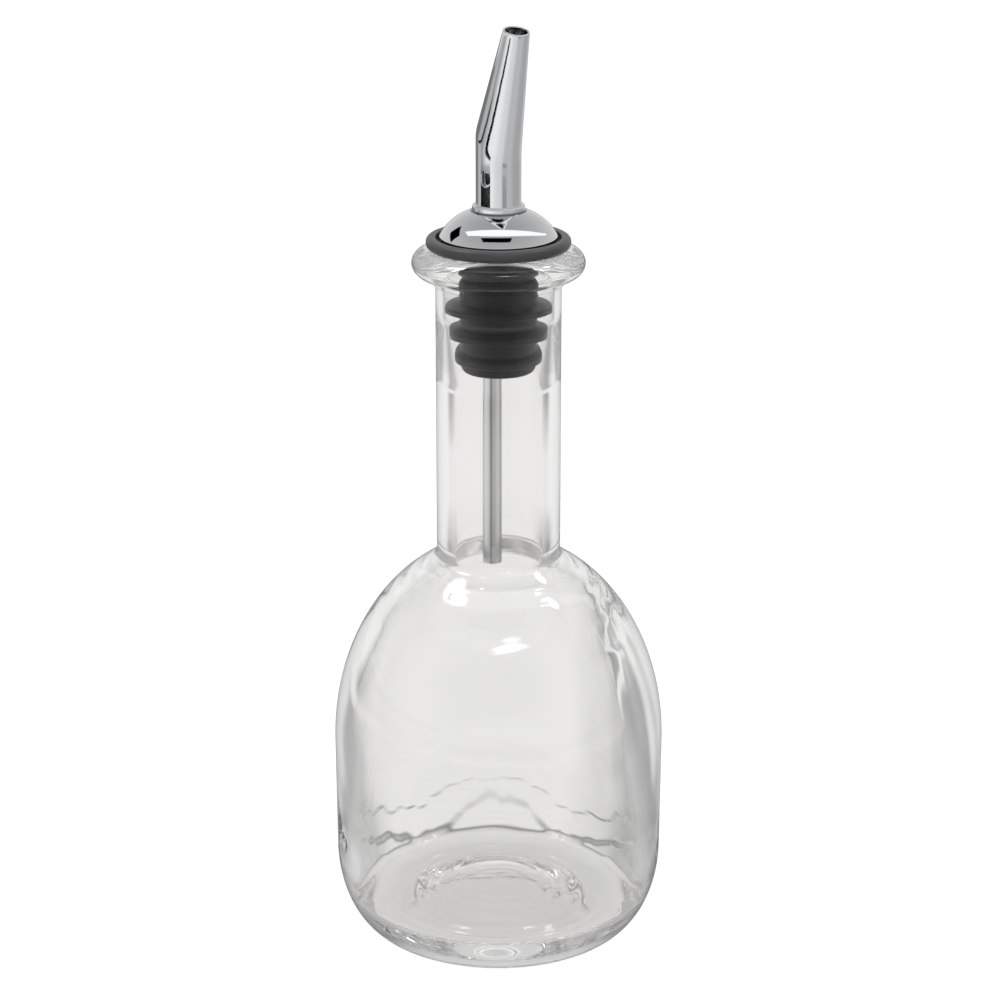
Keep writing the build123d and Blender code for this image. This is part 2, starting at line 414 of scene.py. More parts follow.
def bottle_outside():
    punt = cap_points(FOOT_RING, PUNT_HEIGHT, 0, [n / CAP_STEPS for n in range(CAP_STEPS)])
    heel_middle = (FOOT_RADIUS, HEEL_HEIGHT)
    heel = ellipse_points(heel_middle, HEEL_RADIUS - FOOT_RADIUS, HEEL_HEIGHT, -90, 0, HEEL_STEPS)
    stop = shoulder_stop(BODY_RADIUS, NECK_RADIUS)
    shoulder = ellipse_points(
        (0, SHOULDER_HEIGHT), BODY_RADIUS, SHOULDER_RISE, 0, stop - OUTER_BLEND_ANGLE, SHOULDER_STEPS
    )
    neck_foot = SHOULDER_HEIGHT + SHOULDER_RISE * math.sin(math.radians(stop))
    ring = BEAD_BOTTOM - RING_HEIGHT
    lip = BEAD_RADIUS - BEAD_DEPTH
    bead_middle = (lip, RIM_HEIGHT - BEAD_HEIGHT / 2)
    bead = ellipse_points(bead_middle, BEAD_DEPTH, BEAD_HEIGHT / 2, BEAD_START, 90, BEAD_STEPS)
    neck = [
        (NECK_RADIUS, neck_foot, NECK_BLEND),
        (NECK_RADIUS, ring, RING_ROUND),
        (RING_RADIUS, ring, RING_ROUND),
        (RING_RADIUS, BEAD_BOTTOM, RING_ROUND),
    ]
    return rounded(punt + [(FOOT_RING, 0, FOOT_ROUND)] + heel + shoulder + neck + bead)


def bottle_inside():
    stop = shoulder_stop(INNER_RADIUS, BORE_RADIUS)
    bore_foot = SHOULDER_HEIGHT + INNER_RISE * math.sin(math.radians(stop))
    mouth = [
        (BEAD_RADIUS - BEAD_DEPTH, RIM_HEIGHT, 0),
        (MOUTH_RADIUS, RIM_HEIGHT, LIP_ROUND),
        (MOUTH_RADIUS, RIM_HEIGHT - MOUTH_DEPTH, 0),
        (BORE_RADIUS, RIM_HEIGHT - MOUTH_DEPTH - TAPER_LENGTH, 0),
        (BORE_RADIUS, bore_foot, BORE_BLEND),
    ]
    shoulder = ellipse_points(
        (0, SHOULDER_HEIGHT), INNER_RADIUS, INNER_RISE, stop - INNER_BLEND_ANGLE, 0, SHOULDER_STEPS
    )
    foot_of_wall = [
        (INNER_RADIUS, WALL_FOOT_HEIGHT, WALL_FOOT_ROUND),
        (FLOOR_REACH + INNER_HEEL_SPREAD, INNER_HEEL_HEIGHT, INNER_HEEL_ROUND),
        (FLOOR_REACH, MOAT_HEIGHT + FLOOR_EDGE_RISE, FLOOR_CORNER),
    ]
    moat = [(MOAT_RADIUS + MOAT_WIDTH, MOAT_HEIGHT, MOAT_ROUND)]
    inwards = [1 - n / CAP_STEPS for n in range(CAP_STEPS + 1)]
    dome = cap_points(MOAT_RADIUS, DOME_RISE, MOAT_HEIGHT, inwards, DOME_SOFTENING)
    return rounded(mouth + shoulder + foot_of_wall + moat + dome)


OUTSIDE_STEP, INSIDE_STEP, FLOOR_STEP, FINE_BELOW = 2.0, 1.2, 0.25, 30
outside = cut_runs(bottle_outside(), OUTSIDE_STEP)
inside = bottle_inside()
floor_start = next(n for n, point in enumerate(inside) if point.y < FINE_BELOW)
inside = cut_runs(inside[: floor_start + 1], INSIDE_STEP) + cut_runs(inside[floor_start:], FLOOR_STEP)[1:]
print("outside:", len(outside), "points, inside:", len(inside), "points")

# %% [markdown]
# ### Clear glass
#
# Thick glass is nearly colourless across a wall and greyer along it, which is why its edges look
# dark. Two things give that here: a base colour a little under white, taken once for each
# wall that is crossed, and a Bump from a slow noise, for the faint waves of hand-made glass. The
# Transmission Weight is an even number on the shader's own socket.

# %% Mix the materials
def new_material(name):
    material = bpy.data.materials.new(name)
    material.use_nodes = True
    material.node_tree.nodes.clear()
    return material, Tree(material.node_tree)


def noise(tree, scale, detail=2.0, stretch=(1, 1, 1)):
    """Noise from 0 to 1 on the object's own coordinates; scale is waves in a metre."""
    place = tree.node("ShaderNodeTexCoord", output="Object")
    stretched = tree.node("ShaderNodeMapping", sockets={"Vector": place, "Scale": stretch})
    return tree.node("ShaderNodeTexNoise", sockets={"Vector": stretched, "Scale": scale, "Detail": detail})


def place_on_piece(tree):
    """A point's own x, y and z on its piece, and its distance from the upright axis."""
    x, y, z = tree.split(tree.node("ShaderNodeTexCoord", output="Object"))
    return x, y, z, (x * x + y * y).maths("SQRT")


def bump(tree, height, distance, strength=1.0):
    return tree.node("ShaderNodeBump", sockets={"Height": height, "Distance": distance, "Strength": strength})


def principled(tree, **sockets):
    named = {name.replace("_", " "): content for name, content in sockets.items()}
    return tree.node("ShaderNodeBsdfPrincipled", sockets=named)


def blend_colours(tree, share, first, second):
    return tree.node("ShaderNodeMix", {"data_type": "RGBA"}, {0: share, 6: first, 7: second}, 2)


def output(tree, shader):
    tree.node("ShaderNodeOutputMaterial", sockets={"Surface": shader})


def make_glass():
    material, tree = new_material("clear_blown_glass")
    tint = blend_colours(tree, noise(tree, 18, 1.0), (0.932, 0.93, 0.922, 1), (0.948, 0.945, 0.938, 1))
    waves = noise(tree, 45, 1.0, (1, 1, 0.6))
    shader = principled(
        tree,
        Base_Color=tint,
        Roughness=0.0,
        IOR=1.5,
        Transmission_Weight=1.0,
        Normal=bump(tree, waves, 0.5 * MM, 0.35),
    )
    output(tree, shader)
    return material


glass_finish = make_glass()
print("made", glass_finish.name)

# %% [markdown]
# ### Glass that flowed
#
# Four things take the inside out of true, and all of them only make the glass thicker. A slow
# noise gives the waves. One side of the body is thicker, as where the glass hung while it was
# soft. On the back wall the glass ran down twice and stopped in a wavy edge, a step of under a
# millimetre, which bends light into a thin dark line. And the floor has faint rings, as from the
# turning of the pipe. A displacement texture could do it, but a tree keeps each cause apart.

# %% Name the ways in which the glass flowed
FLOOR_ENDS, WALL_STARTS = 18 * MM, 28 * MM
STREAKS_AROUND, STREAKS_UP = 4.0, 14.0
EDGE_WAVES, RING_PATCHES = 7.0, 90.0
BACK_STARTS, BACK_FULL = -0.1, -0.1 + 1 / 3
BACK_WALL, EDGE_TILT = 33 * MM, 0.36
RINGS_START, RINGS_FULL = 9 * MM, 15 * MM
UPPER_FOLD = {
    "low": 14.5 * MM, "crest": 6.5 * MM, "crest_reach": 17 * MM,
    "depth": 0.45 * MM, "edge_soft": 0.5 * MM, "turn": 5.0,
}
LOWER_FOLD = {
    "low": 9 * MM, "crest": 9 * MM, "crest_reach": 13 * MM,
    "depth": 0.9 * MM, "edge_soft": 2.4 * MM, "turn": 9.0,
}
fold_feet = [round(fold["low"] / MM, 1) for fold in (UPPER_FOLD, LOWER_FOLD)]
print("edges of the folds in mm above the foot, at their lowest:", fold_feet)

# %% Build the tree that lets the glass flow
def make_flow():
    group = bpy.data.node_groups.new("flowed_glass", "GeometryNodeTree")
    add_input(group, "Geometry", "NodeSocketGeometry")
    for name, value in (
        ("Wave height", 0.0005),
        ("Wave spacing", 0.02),
        ("Seed", 3.0),
        ("Thick side", 0.0024),
        ("Thick side height", 0.06),
        ("Thick side reach", 0.028),
        ("Edge wander", 0.0075),
        ("Ring height", 0.0002),
        ("Ring spacing", 0.0035),
    ):
        add_input(group, name, "NodeSocketFloat", value)
    add_input(group, "Material", "NodeSocketMaterial")
    group.interface.new_socket("Geometry", in_out="OUTPUT", socket_type="NodeSocketGeometry")
    tree = Tree(group)
    mesh = tree.node("NodeGroupInput")
    wave_height, spacing, seed, thick, thick_level, thick_reach = (sibling(mesh, n) for n in range(1, 7))
    wander, ring_height, ring_spacing, finish = (sibling(mesh, n) for n in range(7, 11))

    def four_way_noise(place, turn, detail):
        return tree.node(
            "ShaderNodeTexNoise",
            {"noise_dimensions": "4D"},
            {"Vector": place, "W": turn, "Scale": 1.0, "Detail": detail},
        )

    def scaled(vector, factor):
        return tree.node("ShaderNodeVectorMath", {"operation": "SCALE"}, {0: vector, "Scale": factor})

    place = tree.node("GeometryNodeInputPosition")
    x, y, z = tree.split(place)
    softness = tree.node("GeometryNodeInputNamedAttribute", {"data_type": "FLOAT"}, {0: "softness"})
    reach = (x * x + y * y).maths("SQRT").at_least(1e-5)
    east, north = x / reach, y / reach
    on_wall = reach.between(FLOOR_ENDS, WALL_STARTS)
    inwards = tree.join(east * -1.0, north * -1.0, 0.0)

    waves = four_way_noise(scaled(place, 1.0 / spacing), seed, 1.0) * wave_height
    rise = ((z - thick_level) / thick_reach) ** 2.0
    drawn_out = tree.join(east * STREAKS_AROUND, north * STREAKS_AROUND, z * STREAKS_UP)
    streaks = four_way_noise(drawn_out, seed, 1.0)
    side = east.at_least(0.0) ** 1.5 * thick * (0.9 + streaks * 0.2) * (rise * -1.0).maths("EXPONENT")
    at_back = north.between(BACK_STARTS, BACK_FULL)

    def run_down(low, crest, crest_reach, depth, edge_soft, turn):
        """Glass that ran down the back wall and stopped in an uneven edge, highest in the middle."""
        middle = ((x / crest_reach) ** 4.0 * -1.0).maths("EXPONENT")
        ragged = four_way_noise(scaled(inwards, EDGE_WAVES), seed + turn, 4.0) - 0.5
        level = low + middle * crest + (BACK_WALL - y) * EDGE_TILT + ragged * wander
        share = (level - z).between(0.0, edge_soft)
        return share * share * (3.0 - share * 2.0) * depth * at_back

    folds = run_down(**UPPER_FOLD) + run_down(**LOWER_FOLD)
    push = (waves + side + folds) * softness * on_wall
    off_centre = reach.between(RINGS_START, RINGS_FULL)
    rings = (reach * (math.tau / ring_spacing)).maths("SINE") * off_centre * ring_height
    rings = rings * four_way_noise(scaled(place, RING_PATCHES), seed, 1.0)
    floor_waves = (waves + rings) * softness * (1.0 - on_wall)
    lift = tree.join(0.0, 0.0, floor_waves)
    moved = tree.node("ShaderNodeVectorMath", {"operation": "ADD"}, {0: scaled(inwards, push), 1: lift})
    flowed = tree.node("GeometryNodeSetPosition", sockets={0: mesh, 3: moved})
    real = tree.node("GeometryNodeRealizeInstances", sockets={0: flowed})
    coated = tree.node("GeometryNodeSetMaterial", sockets={0: real, 2: finish})
    tree.node("NodeGroupOutput", sockets={0: coated})
    return group


flow = make_flow()
print("flow tree has", len(flow.nodes), "nodes")

# %% Turn the bottle and let its inside flow
STIFF_ABOVE, SOFT_FADE = 104, 20


def softness_at(point):
    """Full softness in the body, fading to none where the neck begins."""
    return min(max((STIFF_ABOVE - point[1]) / SOFT_FADE, 0.0), 1.0)


softness = [0.0] * len(outside) + [softness_at(point) for point in inside[1:]]
bottle = turn_profile("bottle_glass", outside + inside[1:], glass_finish, softness, steps=220)
bottle.data = run_tree(bottle, flow, {"Material": glass_finish})
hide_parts("glass_bottle")
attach(bottle, "bottle")

# %% [markdown]
# ## The ribbed cork
#
# The cork is moulded rubber, near black with a satin skin. Its three fins are
# squeezed by the mouth, so each is a little smaller than the one above it. The profile is closed,
# because the pourer's shank runs through its middle, and a narrow groove lies round the collar.
# The flange is painted a paler grey, while the groove inside it keeps the near-black rubber as
# painted shade. The cork stays near black above its top fin, as painted shade under the flange,
# and turns paler below it, as dust. Masks on the object's own coordinates blend the greyer
# rubber in, so no texture has to be painted.

# %% Sizes of the cork
RIM_GAP, FLANGE_RADIUS, FLANGE_THICKNESS, FLANGE_ROUND = 0.05, 16.0, 2.6, 1.15
CORE_RADIUS, CORK_LENGTH, NOSE_ROUND = 8.6, 27.6, 1.9
FIN_LEVELS = [RIM_HEIGHT - 12.9 - 5.7 * place for place in range(3)]
FIN_ROOT, FIN_TIP, FIN_ROUND, FIN_CLEARANCE, LEAD_IN = 2.6, 1.3, 0.5, 0.07, 0.55
COLLAR_RADIUS, SEAT_DEPTH, SEAT_GAP = 13.05, 0.5, 0.8
GROOVE_DEPTH, GROOVE_WIDTH, SEAT_ROUND = 0.9, 0.4 + SEAT_GAP, 0.15
SPOUT_RADIUS, SPOUT_BORE, SHANK_GAP = 5.0, 4.45, 0.05
FLARE_WIDTH, FLARE_HEIGHT, RECESS_GAP, FLARE_LIFT = 0.8, 1.0, 0.4, 0.7
CORK_BOTTOM = RIM_HEIGHT - CORK_LENGTH
FLANGE_BOTTOM = RIM_HEIGHT + RIM_GAP
FLANGE_TOP = FLANGE_BOTTOM + FLANGE_THICKNESS
FLARE_BOTTOM = CORK_BOTTOM + FLARE_LIFT
RECESS_TOP = FLARE_BOTTOM + FLARE_HEIGHT + RECESS_GAP
print("cork from", CORK_BOTTOM, "to", FLANGE_TOP, "mm")

# %% Turn the cork
def mouth_radius_at(height):
    share = (RIM_HEIGHT - height - MOUTH_DEPTH) / TAPER_LENGTH
    return MOUTH_RADIUS + (BORE_RADIUS - MOUTH_RADIUS) * min(max(share, 0.0), 1.0)


def fin_corners(place):
    """One fin, from its lower root to its upper root."""
    level = FIN_LEVELS[place]
    relief = LEAD_IN if place == len(FIN_LEVELS) - 1 else 0.0
    tip = mouth_radius_at(level - FIN_TIP / 2) - FIN_CLEARANCE - relief
    return [
        (CORE_RADIUS, level - FIN_ROOT / 2, 0.3),
        (tip, level - FIN_TIP / 2, FIN_ROUND),
        (tip, level + FIN_TIP / 2, FIN_ROUND),
        (CORE_RADIUS, level + FIN_ROOT / 2, 0.3),
    ]


def cork_outline():
    shank_bore = SPOUT_RADIUS + SHANK_GAP
    recess = SPOUT_RADIUS + FLARE_WIDTH + RECESS_GAP
    seat = COLLAR_RADIUS + SEAT_GAP
    seat_level = FLANGE_TOP - SEAT_DEPTH
    corners = [
        (shank_bore, RECESS_TOP, 0.15),
        (recess, RECESS_TOP, 0.3),
        (recess, CORK_BOTTOM, 0.2),
        (CORE_RADIUS, CORK_BOTTOM, NOSE_ROUND),
    ]
    for place in reversed(range(len(FIN_LEVELS))):
        corners += fin_corners(place)
    corners += [
        (CORE_RADIUS, FLANGE_BOTTOM, 0.4),
        (FLANGE_RADIUS, FLANGE_BOTTOM, FLANGE_ROUND),
        (FLANGE_RADIUS, FLANGE_TOP, FLANGE_ROUND),
        (seat, FLANGE_TOP, 0.2),
        (seat, seat_level - GROOVE_DEPTH, SEAT_ROUND),
        (seat - GROOVE_WIDTH, seat_level - GROOVE_DEPTH, SEAT_ROUND),
        (seat - GROOVE_WIDTH, seat_level, SEAT_ROUND),
        (shank_bore, seat_level, SEAT_ROUND),
    ]
    return cut_runs(rounded(corners, closed=True, arc_steps=6), longest=1.5)


# beyond the first radius the flange is paler grey and the groove inside it keeps near-black painted shade;
# over the length the painted shade above the top fin gives way to paler dusty rubber
FLANGE_GREY_FROM, FLANGE_GREY_EDGE, TOP_SHADE_FADE = 13.5 * MM, 0.5 * MM, 12 * MM


def make_cork_rubber():
    material, tree = new_material("black_cork_rubber")
    grain = noise(tree, 900, 3.0)
    bloom = noise(tree, 120, 3.0)
    *_, height, radius = place_on_piece(tree)
    flange, top_fin = FLANGE_BOTTOM * MM, FIN_LEVELS[0] * MM
    # the flange is painted paler grey, and the groove inside it stays near black as painted shade
    flange_beyond_groove_shade = radius.between(FLANGE_GREY_FROM, FLANGE_GREY_FROM + FLANGE_GREY_EDGE) * height.between(flange, flange + FLANGE_GREY_EDGE)
    # painted shade: near black above the top fin, under the flange, fading below it to paler dusty rubber
    dust_below_top_shade = height.between(top_fin, top_fin - TOP_SHADE_FADE)
    near_black_rubber = blend_colours(tree, bloom, (0.002, 0.002, 0.003, 1), (0.008, 0.008, 0.009, 1))
    plug = blend_colours(tree, dust_below_top_shade, near_black_rubber, (0.036, 0.036, 0.039, 1))
    flange_grey = blend_colours(tree, bloom, (0.085, 0.085, 0.088, 1), (0.14, 0.137, 0.142, 1))
    shader = principled(
        tree,
        Base_Color=blend_colours(tree, flange_beyond_groove_shade, plug, flange_grey),
        Roughness=0.3 + bloom * 0.15,
        Specular_IOR_Level=0.4,
        Normal=bump(tree, grain, 0.05 * MM, 0.25),
    )
    output(tree, shader)
    return material


cork = turn_profile("ribbed_cork", cork_outline(), make_cork_rubber(), steps=128)
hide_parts("stopper")
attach(cork, "cork")

# %% [markdown]
# ## The chromed collar
#
# The collar is pressed from sheet, so it has the same thin wall all over: an upright edge, a
# domed top and a lip that is turned up round the spout. Chrome shows its surroundings and next
# to nothing of its own, so its finish needs few nodes: smears that dull the gloss a little, and
# a line of painted shade in the crease at the foot of the lip.

# %% Turn the collar
COLLAR_SHEET, COLLAR_EDGE, COLLAR_RISE, COLLAR_CROWN, COLLAR_PLAY = 0.9, 0.6, 6.3, 0.9, 0.1
LIP_RING_WIDTH, LIP_RING_HEIGHT, LIP_RING_ROUND, SOLDER_GAP = 0.8, 1.3, 0.5, 0.02
COLLAR_BOTTOM = FLANGE_TOP - SEAT_DEPTH + COLLAR_PLAY
# where a ring of painted shade darkens the crease at the foot of the lip
CREASE_SHADE_OFFSET = 0.15
CREASE_SHADE_RADIUS = SPOUT_RADIUS + SOLDER_GAP + LIP_RING_WIDTH + CREASE_SHADE_OFFSET
CREASE_SHADE_LEVEL = COLLAR_BOTTOM + COLLAR_RISE
CREASE_SHADE_FULL, CREASE_SHADE_ENDS = 0.12 * MM, 0.42 * MM
print("dome of the collar rises to", round(CREASE_SHADE_LEVEL, 2), "mm")


def bulged(start, end, rise, steps=16):
    """Sharp corners along a round arc that bulges up from the line between two points."""
    start, end = Vector(start), Vector(end)
    half = (end - start).length / 2
    side = Vector((end.y - start.y, start.x - end.x)).normalized()
    side = side if side.y > 0 else -side
    along = (end - start).normalized()
    middle = (start + end) / 2
    arc = []
    for step in range(steps + 1):
        distance = half * (2 * step / steps - 1)
        spot = middle + along * distance + side * cap_height(half, rise, distance)
        arc.append((spot.x, spot.y, 0))
    return arc


def collar_outline():
    hole = SPOUT_RADIUS + SOLDER_GAP
    lip = hole + LIP_RING_WIDTH
    dome_foot = COLLAR_BOTTOM + COLLAR_EDGE
    dome_top = COLLAR_BOTTOM + COLLAR_RISE
    lip_top = dome_top + LIP_RING_HEIGHT
    outer = bulged((COLLAR_RADIUS, dome_foot), (lip, dome_top), COLLAR_CROWN)
    inner = bulged((COLLAR_RADIUS - COLLAR_SHEET, dome_foot), (lip, dome_top - COLLAR_SHEET), COLLAR_CROWN)
    corners = [
        (COLLAR_RADIUS, COLLAR_BOTTOM, 0.25),
        (COLLAR_RADIUS, dome_foot, 0.3),
        *outer[1:-1],
        (lip, dome_top, 0.35),
        (lip, lip_top, LIP_RING_ROUND),
        (hole, lip_top, 0.1),
        (hole, dome_top - COLLAR_SHEET, 0),
        *reversed(inner),
        (COLLAR_RADIUS - COLLAR_SHEET, COLLAR_BOTTOM, 0.25),
    ]
    return cut_runs(rounded(corners, closed=True), longest=0.8)


def make_chrome():
    material, tree = new_material("bright_chrome")
    smear = noise(tree, 90, 3.0)
    *_, height, radius = place_on_piece(tree)
    # painted shade: a dark ring in the crease where the lip meets the dome
    off_ring = (radius - CREASE_SHADE_RADIUS * MM).maths("ABSOLUTE")
    off_level = (height - CREASE_SHADE_LEVEL * MM).maths("ABSOLUTE")
    crease_shade = off_ring.at_least(off_level).between(CREASE_SHADE_ENDS, CREASE_SHADE_FULL)
    plating = blend_colours(tree, smear, (0.71, 0.72, 0.735, 1), (0.76, 0.77, 0.785, 1))
    shader = principled(
        tree,
        Base_Color=blend_colours(tree, crease_shade * 0.85, plating, (0.05, 0.05, 0.055, 1)),
        Metallic=1.0,
        Roughness=0.03 + smear * 0.045,
        Normal=bump(tree, noise(tree, 260, 1.0), 0.05 * MM, 0.25),
    )
    output(tree, shader)
    return material


chrome_finish = make_chrome()
collar = turn_profile("chromed_collar", collar_outline(), chrome_finish, steps=160)
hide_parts("collar")
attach(collar, "pourer")

# %% [markdown]
# ## The spout
#
# The spout is one tube. It stands straight in the cork, then leans and narrows to its tip. Every
# line along its side has only three points: its foot, the bend and the tip. The lower the bend is
# on that side, the longer the leaning part. So each line is drawn with its bend softened, and the
# lines are joined into a skin, once for the outside and once for the inside.

# %% Build the spout's skin
SPOUT_TURN = math.radians(-58.0)
BEND_FRONT, BEND_BACK, BEND_SOFT = 20.0, 27.2, 1.3
TIP_HEIGHT, TIP_REACH, TIP_TILT = 48.8, 7.2, math.radians(12.5)
TIP_RADIUS, TIP_BORE = 2.9, 2.4
SPOUT_LINES, SHANK_STEPS, BEND_STEPS, LEAN_STEPS, LIP_STEPS = 144, 60, 12, 28, 6
FLARE_EDGE = 0.2
UP = Vector((0, 0, 1))
LEAN = Vector((math.cos(SPOUT_TURN), math.sin(SPOUT_TURN), 0))
ACROSS = UP.cross(LEAN)
TIP_PLACE = LEAN * TIP_REACH + UP * (RIM_HEIGHT + TIP_HEIGHT)
TIP_SLOPE = LEAN * math.cos(TIP_TILT) - UP * math.sin(TIP_TILT)


def spout_line(angle, radius, tip_radius, foot):
    """Points up one line of the spout, from its foot to its tip, with a soft bend."""
    around = LEAN * math.cos(angle) + ACROSS * math.sin(angle)
    lower = around * radius
    slant = (BEND_FRONT - BEND_BACK) / 2 * radius / SPOUT_RADIUS * math.cos(angle)
    level = (BEND_FRONT + BEND_BACK) / 2 + slant
    bend = lower + UP * (RIM_HEIGHT + level)
    tip = TIP_PLACE + (TIP_SLOPE * math.cos(angle) + ACROSS * math.sin(angle)) * tip_radius
    base = lower + UP * foot
    below = bend + (base - bend).normalized() * BEND_SOFT
    above = bend + (tip - bend).normalized() * BEND_SOFT
    line = [base.lerp(below, n / SHANK_STEPS) for n in range(SHANK_STEPS)]
    for n in range(BEND_STEPS + 1):
        share = n / BEND_STEPS
        line.append(below.lerp(bend, share).lerp(bend.lerp(above, share), share))
    line += [above.lerp(tip, n / LEAN_STEPS) for n in range(1, LEAN_STEPS + 1)]
    return line


def spout_loop(angle):
    """One closed section of the wall: up the outside, over the tip, and down the inside."""
    around = LEAN * math.cos(angle) + ACROSS * math.sin(angle)
    outer = spout_line(angle, SPOUT_RADIUS, TIP_RADIUS, FLARE_BOTTOM + FLARE_HEIGHT)
    inner = spout_line(angle, SPOUT_BORE, TIP_BORE, FLARE_BOTTOM)
    lip_middle = (outer[-1] + inner[-1]) / 2
    half = (outer[-1] - inner[-1]) / 2
    along = (outer[-1] - outer[-2]).normalized() * half.length
    outer[-1] = outer[-1] - along
    inner[-1] = inner[-1] - along
    lip = [
        lip_middle - along + half * math.cos(turn) + along * math.sin(turn)
        for turn in (math.pi * n / LIP_STEPS for n in range(1, LIP_STEPS))
    ]
    flare = around * (SPOUT_RADIUS + FLARE_WIDTH) + UP * (FLARE_BOTTOM + FLARE_EDGE)
    return outer + lip + inner[::-1] + [flare]


def skin(name, loops, material):
    """A closed mesh through loops of points that go once around."""
    mesh = bpy.data.meshes.new(name)
    points = [point * MM for loop in loops for point in loop]
    size, count = len(loops[0]), len(loops)
    faces = []
    for turn in range(count):
        here, there = turn * size, (turn + 1) % count * size
        for n in range(size):
            nxt = (n + 1) % size
            faces.append((here + n, there + n, there + nxt, here + nxt))
    mesh.from_pydata(points, [], faces)
    mesh.materials.append(material)
    mesh.shade_smooth()
    return add_object(name, mesh)


loops = [spout_loop(math.tau * n / SPOUT_LINES) for n in range(SPOUT_LINES)]
spout = skin("chromed_spout", loops, chrome_finish)
print(spout.name, "has", len(spout.data.polygons), "faces")

# %% [markdown]
# ### The vent
#
# Air comes back in through a slot low on the spout. A Boolean cuts it from the finished
# skin, with a rounded bar as the cutter, and a smaller bar cuts the port of the breather tube
# that lies behind it. The Boolean is applied and the bar is removed.

# %% Write the tools that cut the vent
VENT_TURN, VENT_HEIGHT, VENT_WIDTH, VENT_LENGTH = math.radians(-126.0), 16.1, 2.5, 3.6
VENT_SIDE = Vector((math.cos(VENT_TURN), math.sin(VENT_TURN), 0))
BAR_STEPS = 12


def rounded_bar(name, width, length, near, far):
    """A bar with round ends, along the vent's direction; near and far are distances from the axis."""
    bar = bmesh.new()
    side = UP.cross(VENT_SIDE)
    ring = []
    for end, turn in ((1, 0.0), (-1, math.pi)):
        for n in range(BAR_STEPS + 1):
            angle = turn + math.pi * n / BAR_STEPS
            rise = math.sin(angle) * width / 2 + end * (length - width) / 2
            ring.append(side * (math.cos(angle) * width / 2) + UP * rise)
    middle = UP * (RIM_HEIGHT + VENT_HEIGHT)
    ends = [
        [bar.verts.new((middle + VENT_SIDE * reach + spot) * MM) for spot in ring]
        for reach in (near, far)
    ]
    bar.faces.new(ends[0])
    bar.faces.new(ends[1])
    for n in range(len(ring)):
        nxt = (n + 1) % len(ring)
        bar.faces.new((ends[0][n], ends[0][nxt], ends[1][nxt], ends[1][n]))
    bmesh.ops.recalc_face_normals(bar, faces=bar.faces)
    mesh = bpy.data.meshes.new(name)
    bar.to_mesh(mesh)
    bar.free()
    return add_object(name, mesh)


def cut_away(piece, cutter, sharpest=40):
    modifier = piece.modifiers.new("cut", "BOOLEAN")
    modifier.operation = "DIFFERENCE"
    modifier.solver = "EXACT"
    modifier.object = cutter
    bpy.context.view_layer.update()
    evaluated = piece.evaluated_get(bpy.context.evaluated_depsgraph_get())
    mesh = bpy.data.meshes.new_from_object(evaluated)
    piece.modifiers.clear()
    piece.data = mesh
    mesh.name = piece.name
    mesh.set_sharp_from_angle(angle=math.radians(sharpest))
    bpy.data.objects.remove(cutter)


def outward(piece):
    """Turns a closed mesh right side out and says how much it holds."""
    work = bmesh.new()
    work.from_mesh(piece.data)
    if work.calc_volume(signed=True) < 0:
        bmesh.ops.reverse_faces(work, faces=work.faces)
        work.to_mesh(piece.data)
    print(piece.name, "volume in mm3:", round(work.calc_volume(signed=True) / MM**3))
    work.free()


print("vent:", VENT_WIDTH, "by", VENT_LENGTH, "mm,", VENT_HEIGHT, "mm above the rim")

# %% [markdown]
# ### The breather tube
#
# The breather is a thin drawn tube that lies against the spout's wall, behind the vent, and
# hangs down the neck. It is turned like the cork, only on an axis of its own. A colour ramp round
# the tube paints bright and dull stripes along its length, a painted reflection of the studio,
# and its rim is painted darker where it is seen edge-on. A stretched noise adds the fine scratches.

# %% Mix the drawn steel
BREATHER_RADIUS, BREATHER_BORE, BREATHER_DROP, BREATHER_CAP = 2.1, 1.6, 71.8, 0.8
BREATHER_TOP = RIM_HEIGHT + VENT_HEIGHT + 2.5
# painted reflection: bright and dull stripes round the tube, as (share of a turn, tone)
REFLECTION_BANDS = (
    (0.0, 0.7), (0.33, 0.6), (0.37, 1.0), (0.46, 1.0), (0.475, 0.2), (0.49, 0.2),
    (0.505, 0.75), (0.61, 0.75), (0.65, 0.4), (1.0, 0.7),
)
breather_place = VENT_SIDE * (SPOUT_BORE - BREATHER_RADIUS - SOLDER_GAP)


def make_drawn_steel():
    material, tree = new_material("drawn_steel")
    lines = noise(tree, 700, 2.0, (1, 1, 0.02))
    x, y, *_ = place_on_piece(tree)
    nearer = (y - breather_place.y * MM) * -1.0
    side = (x - breather_place.x * MM).maths("ARCTAN2", nearer)
    # the stripes of painted reflection, by the turn round the tube
    painted_reflection_bands = tree.ramp(REFLECTION_BANDS, side / math.tau + 0.5)
    # painted reflection: the rim is darker where the tube turns edge-on
    edge = tree.node("ShaderNodeLayerWeight", sockets={"Blend": 0.5}, output="Facing")
    steel = blend_colours(tree, painted_reflection_bands, (0.30, 0.31, 0.33, 1), (0.98, 0.98, 0.98, 1))
    shader = principled(
        tree,
        Base_Color=blend_colours(tree, edge ** 8.0 * 0.8, steel, (0.1, 0.1, 0.11, 1)),
        Metallic=0.85,
        Roughness=0.12 + lines * 0.18,
        Normal=bump(tree, lines, 0.03 * MM, 0.8),
    )
    output(tree, shader)
    return material


print("breather tube hangs", BREATHER_DROP, "mm below the rim")

